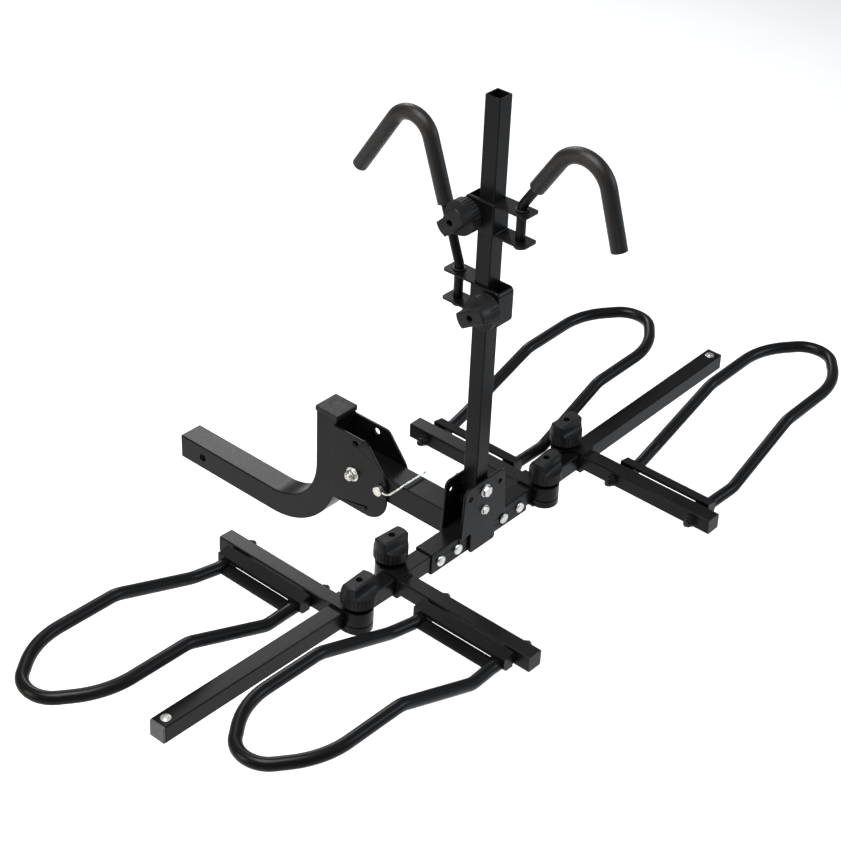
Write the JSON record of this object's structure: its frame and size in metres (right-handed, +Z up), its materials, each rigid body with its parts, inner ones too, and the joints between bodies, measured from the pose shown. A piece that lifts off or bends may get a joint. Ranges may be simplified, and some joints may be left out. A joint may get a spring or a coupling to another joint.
{
  "type": "hitch mounted bike rack",
  "caption": "Folding platform carrier for bicycles on a square hitch shank: tilting arm, upright mast with padded swivel hooks, sliding wheel hoops on a cross bar, hand-knob clamps.",
  "frame": {"origin": "centre of the hitch-pin hole, on the shank's centreline", "axes": "+Z up, +Y forward along the shank to the vehicle, +X to the vehicle's right"},
  "size_m": [1.6766, 1.015, 1.0074],
  "materials": {
    "black_powder_coat": "satin powder coat",
    "zinc_hardware": "bright zinc plate",
    "black_zinc_hardware": "black zinc plate",
    "black_plastic": "moulded, lightly textured",
    "grey_plastic": "moulded",
    "foam": "closed-cell foam sleeve"
  },
  "bodies": {
    "hitch_frame": {"hitch_shank": "black_powder_coat", "leg_cap": "black_plastic", "pivot_plate_left": "black_powder_coat", "pivot_plate_right": "black_powder_coat", "pivot_fasteners": "zinc_hardware"},
    "lock_pin": {"lock_pin": "zinc_hardware", "lock_pin_bail": "zinc_hardware"},
    "arm": {"arm_tube": "black_powder_coat", "centre_sleeve": "black_powder_coat", "spar_left": "black_powder_coat", "spar_right": "black_powder_coat", "spar_caps": "grey_plastic", "spar_buttons": "zinc_hardware", "mast_plate_rear": "black_powder_coat", "mast_plate_front": "black_powder_coat", "sleeve_fasteners": "zinc_hardware", "mast_fasteners": "zinc_hardware", "mast_spacers": "zinc_hardware"},
    "mast": {"mast": "black_powder_coat"},
    "clamp_upper": {"mast_clamp_upper": "black_powder_coat", "mast_clamp_bolt_upper": "black_zinc_hardware"},
    "hook_upper": {"hook_rod_upper": "black_powder_coat", "hook_foam_upper": "foam", "hook_collars_upper": "black_zinc_hardware"},
    "mast_knob_upper": {"mast_knob_upper": "black_plastic"},
    "clamp_lower": {"mast_clamp_lower": "black_powder_coat", "mast_clamp_bolt_lower": "black_zinc_hardware"},
    "hook_lower": {"hook_rod_lower": "black_powder_coat", "hook_foam_lower": "foam", "hook_collars_lower": "black_zinc_hardware"},
    "mast_knob_lower": {"mast_knob_lower": "black_plastic"},
    "tray_left_front": {"tray_arm_left_front": "black_powder_coat", "tray_bracket_left_front": "black_powder_coat", "tray_jaw_left_front": "black_powder_coat", "tray_fasteners_left_front": "black_zinc_hardware", "tray_strip_left_front": "black_powder_coat", "tray_hoop_left_front": "black_powder_coat"},
    "tray_knob_left_front": {"tray_knob_left_front": "black_plastic"},
    "tray_left_rear": {"tray_arm_left_rear": "black_powder_coat", "tray_bracket_left_rear": "black_powder_coat", "tray_jaw_left_rear": "black_powder_coat", "tray_fasteners_left_rear": "black_zinc_hardware", "tray_strip_left_rear": "black_powder_coat", "tray_hoop_left_rear": "black_powder_coat"},
    "tray_knob_left_rear": {"tray_knob_left_rear": "black_plastic"},
    "tray_right_front": {"tray_arm_right_front": "black_powder_coat", "tray_bracket_right_front": "black_powder_coat", "tray_jaw_right_front": "black_powder_coat", "tray_fasteners_right_front": "black_zinc_hardware", "tray_strip_right_front": "black_powder_coat", "tray_hoop_right_front": "black_powder_coat"},
    "tray_knob_right_front": {"tray_knob_right_front": "black_plastic"},
    "tray_right_rear": {"tray_arm_right_rear": "black_powder_coat", "tray_bracket_right_rear": "black_powder_coat", "tray_jaw_right_rear": "black_powder_coat", "tray_fasteners_right_rear": "black_zinc_hardware", "tray_strip_right_rear": "black_powder_coat", "tray_hoop_right_rear": "black_powder_coat"},
    "tray_knob_right_rear": {"tray_knob_right_rear": "black_plastic"}
  },
  "joints": [
    {"name": "arm_tilt", "type": "hinge", "parent": "hitch_frame", "child": "arm", "pos_m": [0, -0.401, 0.167], "axis": [-1, 0, 0], "range_deg": [0, 85]},
    {"name": "lock_pin_pull", "type": "slide", "parent": "hitch_frame", "child": "lock_pin", "axis": [-1, 0, 0], "range_m": [0, 0.075], "deforming": ["lock_pin_bail"]},
    {"name": "mast_fold", "type": "hinge", "parent": "arm", "child": "mast", "pos_m": [0, -0.655, 0.257], "axis": [0, 1, 0], "range_deg": [0, 85]},
    {"name": "clamp_upper_slide", "type": "slide", "parent": "mast", "child": "clamp_upper", "axis": [0, 0, 1], "range_m": [-0.04, 0.15]},
    {"name": "hook_upper_swivel", "type": "hinge", "parent": "clamp_upper", "child": "hook_upper", "pos_m": [0, -0.714, 0.779], "axis": [0, 0, -1], "range_deg": [0, 70]},
    {"name": "mast_knob_upper_turn", "type": "hinge", "parent": "clamp_upper", "child": "mast_knob_upper", "pos_m": [-0.05, -0.63, 0.779], "axis": [-1, 0, 0], "range_deg": [-180, 180]},
    {"name": "clamp_lower_slide", "type": "slide", "parent": "mast", "child": "clamp_lower", "axis": [0, 0, 1], "range_m": [-0.11, 0.04]},
    {"name": "hook_lower_swivel", "type": "hinge", "parent": "clamp_lower", "child": "hook_lower", "pos_m": [0, -0.596, 0.628], "axis": [0, 0, 1], "range_deg": [0, 70]},
    {"name": "mast_knob_lower_turn", "type": "hinge", "parent": "clamp_lower", "child": "mast_knob_lower", "pos_m": [-0.05, -0.68, 0.628], "axis": [-1, 0, 0], "range_deg": [-180, 180]},
    {"name": "tray_left_front_slide", "type": "slide", "parent": "arm", "child": "tray_left_front", "axis": [-0.9997, 0, 0.0262], "range_m": [-0.03, 0.34]},
    {"name": "tray_knob_left_front_turn", "type": "hinge", "parent": "tray_left_front", "child": "tray_knob_left_front", "pos_m": [-0.3127, -0.6775, 0.22021], "axis": [0.0262, 0, 0.9997], "range_deg": [-180, 180]},
    {"name": "tray_left_rear_slide", "type": "slide", "parent": "arm", "child": "tray_left_rear", "axis": [-0.9997, 0, 0.0262], "range_m": [-0.03, 0.03]},
    {"name": "tray_knob_left_rear_turn", "type": "hinge", "parent": "tray_left_rear", "child": "tray_knob_left_rear", "pos_m": [-0.1857, -0.6325, 0.21688], "axis": [0.0262, 0, 0.9997], "range_deg": [-180, 180]},
    {"name": "tray_right_front_slide", "type": "slide", "parent": "arm", "child": "tray_right_front", "axis": [0.9997, 0, 0.0262], "range_m": [-0.003, 0.03]},
    {"name": "tray_knob_right_front_turn", "type": "hinge", "parent": "tray_right_front", "child": "tray_knob_right_front", "pos_m": [0.16969, -0.6775, 0.21646], "axis": [-0.0262, 0, 0.9997], "range_deg": [-180, 180]},
    {"name": "tray_right_rear_slide", "type": "slide", "parent": "arm", "child": "tray_right_rear", "axis": [0.9997, 0, 0.0262], "range_m": [-0.03, 0.37]},
    {"name": "tray_knob_right_rear_turn", "type": "hinge", "parent": "tray_right_rear", "child": "tray_knob_right_rear", "pos_m": [0.28469, -0.6325, 0.21947], "axis": [-0.0262, 0, 0.9997], "range_deg": [-180, 180]}
  ]
}
